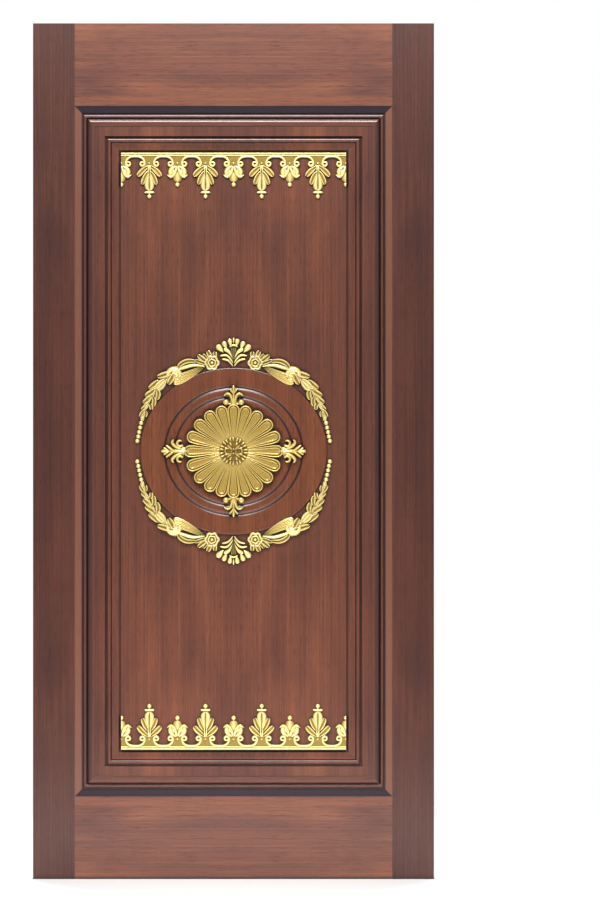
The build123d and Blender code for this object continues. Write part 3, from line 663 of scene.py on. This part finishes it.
def fleurUp(bm):                 # stands above and below the rosette, drawn upward from its centre
    high = rosette["relief"]
    carve(bm, [(0, 108), (0, 120), (0, 132), (0, 147)], 24.0, high * 0.9, "crest",
          steps((0.0, 0.3), (0.25, 1.0), (0.5, 0.75), (0.7, 0.45), (1.0, 0.25)), (0.9, 1.0, 0.8), 10, 24)
    for side in (-1, 1):
        hook = [(2.5, 121), (5.0, 132), (9.5, 141.5), (17, 143.5), (25, 138)]
        carve(bm, [(side * x, y) for x, y in hook], 8.4, high * 0.95, "round", bulge(0.25, 0.4),
              (0.8, 1.0, 0.75), 10, 22)
        carve(bm, [(0, 143), (side * 4.5, 150), (side * 11.5, 157.5)], 6.4, high * 0.8, "round",
              bulge(0.4, 0.45), (0.8, 1.0, 0.7), 8, 14)
        ball(bm, side * 19.2, 122.0, 8.0, high * 0.85)
        carve(bm, [(side * 3, 114), (side * 9, 118), (side * 15, 119)], 7.0, high * 0.75, "round",
              bulge(0.5, 0.4))
    carve(bm, [(0, 143), (0, 155), (0, 165)], 7.6, high * 0.8, "round", bulge(0.8, 0.5), (0.8, 1.0, 0.6),
          8, 14)


def fleurSide(bm):               # its wider sister for left and right, drawn upward too and then turned
    high = rosette["relief"]
    carve(bm, [(0, 112), (0, 128), (0, 145), (0, 162)], 22.0, high * 0.88, "crest",
          steps((0.0, 0.5), (0.3, 1.0), (0.6, 0.7), (1.0, 0.35)), (0.9, 1.0, 0.8), 10, 24)
    for side in (-1, 1):
        first, last = (250, -40) if side > 0 else (290, 580)
        carve(bm, turn((side * 19.4, 133.6), 7.4, 7.0, first, last, 12), 8.2, high * 0.95, "round",
              bulge(0.15, 0.3), (0.8, 1.0, 0.8), 10, 34)
        hook = [(5, 128), (9.5, 141), (16, 150), (22.5, 153.5), (29.5, 149)]
        carve(bm, [(side * x, y) for x, y in hook], 10.0, high, "round", bulge(0.3, 0.4), (0.8, 1.0, 0.75),
              10, 22)
        carve(bm, [(side * 1.5, 150), (side * 7, 158), (side * 15.5, 169.5)], 8.0, high * 0.85, "round",
              bulge(0.35, 0.4), (0.8, 1.0, 0.7), 10, 14)
        carve(bm, [(side * 1.0, 160), (side * 4, 168), (side * 9.0, 175)], 8.0, high * 0.8, "round",
              bulge(0.6, 0.35), (0.8, 1.0, 0.7), 10, 14)
    carve(bm, [(0, 158), (0, 170), (0, 181)], 10.5, high * 0.85, "round", bulge(0.9, 0.35),
          (0.8, 1.0, 0.7), 10, 14)


def boss(bm):                    # rings of small leaves, a cross of larger ones and two crescents
    high = rosette["relief"]
    for index, out in enumerate(around(rosette["outerLeaves"])):
        lean = Vector((-out.y, out.x)) * (1.1 if index % 2 else -1.1)
        carve(bm, [out * 24.0, out * 30.0 + lean * 0.5, out * 36.0 + lean], 6.6, high * 0.86, "round",
              bulge(0.8, 0.4), (0.6, 1.0, 0.75), 8, 10)
    for out in around(rosette["innerLeaves"]):
        carve(bm, [out * 14.0, out * 19.0, out * 24.5], 6.8, high * 0.84, "round", bulge(0.8, 0.4),
              (0.6, 1.0, 0.7), 8, 10)
    for out in around(rosette["crossLeaves"]):
        carve(bm, [out * 3.0, out * 12.0, out * 22.5], 8.6, high * 0.98, "crest", bulge(0.6, 0.4),
              (0.6, 1.0, 0.7), 10, 14)
    for side in (-1, 1):
        first, last = (110, -110) if side > 0 else (70, 290)
        carve(bm, turn((side * 14.0, 0.0), 7.4, 7.4, first, last, 10), 3.8, high * 0.86, "round", None,
              (0.8, 1.0, 0.8), 8, 20)
        ball(bm, 0, side * 5.6, 2.7, high * 0.95)
        ball(bm, side * 5.0, 0, 2.2, high * 0.8)


def wholeRosette(bm):
    for index in range(rosette["petals"]):
        even = 360 / rosette["petals"] * index
        bearing = even - rosette["petalWarp"] * sin(radians(2 * even))
        sideways = sin(radians(bearing)) ** 2
        tip = rosette["tipUp"] + (rosette["tipSide"] - rosette["tipUp"]) * sideways
        stamp(bm, motif(petal, tip), place(degrees=-bearing))
    disc(bm, rosette["petalRoot"] + rosette["plateOverlap"], rosette["plateHeight"], 64, 0.3)
    stamp(bm, motif(boss), place())
    for degrees in (0, 180):
        stamp(bm, motif(fleurUp), place(degrees=degrees))
        stamp(bm, motif(fleurSide), place(degrees=degrees - 90))


# Roundel: a low oval disc with two turned rings
roundel = {
    "sides": 160,
    "grooveHeight": 1.5,         # painted shade goes where the face lies lower than this
    "rows": (                    # from the rim inwards: half-width, half-height and height above the field
        (233.0, 208.0, 0.0), (233.0, 208.0, 3.0), (232.2, 207.2, 3.7), (230.5, 205.5, 4.0),
        (180.0, 167.0, 4.0), (175.0, 162.0, 3.6), (172.5, 159.6, 1.0), (170.5, 157.7, 1.2),
        (168.0, 155.3, 3.2), (162.0, 149.5, 4.3), (156.0, 144.0, 4.4), (150.0, 138.8, 3.4),
        (147.5, 136.6, 1.0), (145.5, 134.8, 1.0), (143.0, 132.5, 2.6), (138.0, 128.0, 3.9),
        (132.0, 122.5, 4.0), (127.0, 118.0, 3.2), (124.0, 115.5, 2.0), (120.0, 112.0, 2.2),
        (60.0, 56.0, 2.4), (0.0, 0.0, 2.4),
    ),
}


def wholeRoundel(bm):
    rows = roundel["rows"]
    last = len(rows) - 1
    paintedGrooveShade = floatLayer(bm, "paintedGrooveShade")
    for vert in bmesh.ops.create_grid(bm, x_segments=last, y_segments=roundel["sides"], size=1.0)["verts"]:
        radiusX, radiusZ, height = rows[round((vert.co.x + 1) / 2 * last)]
        angle = pi * vert.co.y
        vert.co = (radiusX * cos(angle), radiusZ * sin(angle), height)
        # painted shade in the rings' grooves
        vert[paintedGrooveShade] = 1.0 if 0.0 < height < roundel["grooveHeight"] else 0.0


def turnToFront(bm):             # recalculating may turn an open shell to the leaf, so each shell is checked
    bmesh.ops.recalc_face_normals(bm, faces=bm.faces)
    seen = set()
    backward = []
    for start in bm.faces:
        if start in seen:
            continue
        seen.add(start)
        shell = [start]
        for face in shell:       # the shell grows over every edge that two faces share
            for edge in face.edges:
                for other in edge.link_faces if edge.is_manifold else ():
                    if other not in seen:
                        seen.add(other)
                        shell.append(other)
        if sum(face.normal.y * face.calc_area() for face in shell) > 0:
            backward += shell
    bmesh.ops.reverse_faces(bm, faces=backward)


# A motif in mm becomes a finished piece in metres. Its x stays across, its y goes up and its height comes
# forward from the ground. The middle is where the motif's own zero comes on the leaf.
def ornament(name, mesh, material, middle, ground, flipX=False, flipZ=False):
    acrossX = -0.001 if flipX else 0.001
    upZ = -0.001 if flipZ else 0.001
    matrix = Matrix(((acrossX, 0, 0, middle[0]), (0, 0, -0.001, -ground), (0, upZ, 0, middle[1]),
                     (0, 0, 0, 1)))
    bm = bmesh.new()
    stamp(bm, mesh, matrix)
    bmesh.ops.remove_doubles(bm, verts=bm.verts, dist=carving["mergeDistance"])
    bmesh.ops.dissolve_degenerate(bm, dist=carving["mergeDistance"], edges=bm.edges)
    turnToFront(bm)
    finished = bpy.data.meshes.new(name)
    bm.to_mesh(finished)
    bm.free()
    for polygon in finished.polygons:
        polygon.use_smooth = True
    finished.set_sharp_from_angle(angle=radians(carving["sharpAngle"]))
    finished.materials.append(material)
    piece = bpy.data.objects.new("carved_" + name, finished)
    bpy.context.collection.objects.link(piece)
    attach(piece, "root")
    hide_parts(name)
    print("carved", name)


def buildOrnaments():
    roundelLow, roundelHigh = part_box("roundel")
    centre = (roundelLow + roundelHigh) / 2
    middle = (centre.x, centre.z)
    field = -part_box("frieze_top")[1].y       # how far the panel's field stands before the leaf's middle
    roundelFace = -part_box("rosette")[1].y
    friezeMesh, palmetteMesh, garlandMesh = motif(wholeFrieze), motif(wholePalmette), motif(wholeGarland)
    for name, low in (("frieze_top", False), ("frieze_bottom", True)):
        lowest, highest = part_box(name)
        outerEdge = lowest.z if low else highest.z
        ornament(name, friezeMesh, goldBright, (0.0, outerEdge), field, flipZ=low)
    for name, low in (("palmette_top", False), ("palmette_bottom", True)):
        lowest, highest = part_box(name)
        root = highest.z if low else lowest.z
        ornament(name, palmetteMesh, goldBright, (0.0, root), field, flipZ=low)
    for name, right, low in (("garland_top_left", False, False), ("garland_top_right", True, False),
                             ("garland_bottom_left", False, True), ("garland_bottom_right", True, True)):
        ornament(name, garlandMesh, goldBright, middle, field, flipX=right, flipZ=low)
    ornament("roundel", motif(wholeRoundel), woods["roundel"], middle, field)
    ornament("rosette", motif(wholeRosette), goldDeep, middle, roundelFace)


buildOrnaments()


# Studio: pale floor, soft lights above, behind and below, long lens
studio = {
    "lens": 135.0,
    "sensor": 36.0,
    "doorPixels": 401.0,         # width of the leaf in the photograph
    "frameHeight": 900.0,
    "centreShiftX": 66.5,        # the leaf stands this many pixels left of the frame's centre
    "centreShiftY": 1.2,
    "floorColour": "#FBFAF9",    # matt, close to white
    "floorRoughness": 0.9,
    "floorHalf": 1.7,            # half the floor's side, small enough for the lights to cover it
    "floorY": -0.3,
    "backgroundColour": "#FFFFFF",
    "fillStrength": 0.24,
    "lights": {                  # place, aim, width, height, watts, and whether it shines in the varnish
        "light_above": ((0.0, -1.3, 3.1), (0.0, 0.0, 1.4), 1.4, 0.45, 80.0, True),
        "light_behind": ((0.0, 1.5, 2.9), (0.0, 0.7, 0.0), 3.2, 1.0, 105.0, True),
        "light_below": ((0.0, -1.1, 0.12), (0.0, 0.0, 0.6), 1.4, 0.16, 20.0, False),
    },
}


def buildCamera():
    low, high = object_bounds()
    middle = (low + high) / 2
    metrePerPixel = (high.x - low.x) / studio["doorPixels"]
    distance = studio["frameHeight"] * metrePerPixel * studio["lens"] / studio["sensor"]
    data = bpy.data.cameras.new("camera")
    data.lens = studio["lens"]
    data.sensor_width = studio["sensor"]
    camera = bpy.data.objects.new("camera", data)
    camera.location = (
        middle.x + studio["centreShiftX"] * metrePerPixel,
        low.y - distance,
        middle.z + studio["centreShiftY"] * metrePerPixel,
    )
    camera.rotation_euler = (radians(90), 0, 0)
    bpy.context.collection.objects.link(camera)
    bpy.context.scene.camera = camera


def buildFloor():
    mesh = bpy.data.meshes.new("floor")
    bm = bmesh.new()
    verts = bmesh.ops.create_grid(bm, x_segments=1, y_segments=1, size=studio["floorHalf"])["verts"]
    bmesh.ops.translate(bm, vec=(0, studio["floorY"], 0), verts=verts)
    bm.to_mesh(mesh)
    bm.free()
    floor = bpy.data.objects.new("floor", mesh)
    bpy.context.collection.objects.link(floor)
    material, tree, shader = newMaterial("pale_floor")
    shader.inputs["Base Color"].default_value = linear(studio["floorColour"])
    shader.inputs["Roughness"].default_value = studio["floorRoughness"]
    mesh.materials.append(material)


def buildWorld():                # white behind the leaf, and a weaker fill on the wood
    world = bpy.data.worlds.new("studio")
    world.use_nodes = True
    tree = world.node_tree
    seen = addNode(tree, "LightPath", output="Is Camera Ray")
    strength = addNode(tree, "MapRange", {0: seen, 3: studio["fillStrength"], 4: 1.0})
    background = tree.nodes["Background"]
    background.inputs["Color"].default_value = linear(studio["backgroundColour"])
    tree.links.new(strength, background.inputs["Strength"])
    bpy.context.scene.world = world
    bpy.context.scene.view_settings.view_transform = "Standard"


def buildLights():
    for name, (spot, aim, width, height, power, glossy) in studio["lights"].items():
        data = bpy.data.lights.new(name, "AREA")
        data.shape = "RECTANGLE"
        data.size = width
        data.size_y = height
        data.energy = power
        light = bpy.data.objects.new(name, data)
        light.location = spot
        light.rotation_euler = (Vector(aim) - Vector(spot)).to_track_quat("-Z", "Y").to_euler()
        light.visible_camera = False
        light.visible_glossy = glossy
        bpy.context.collection.objects.link(light)


buildCamera()
buildFloor()
buildWorld()
buildLights()
print("built the studio")
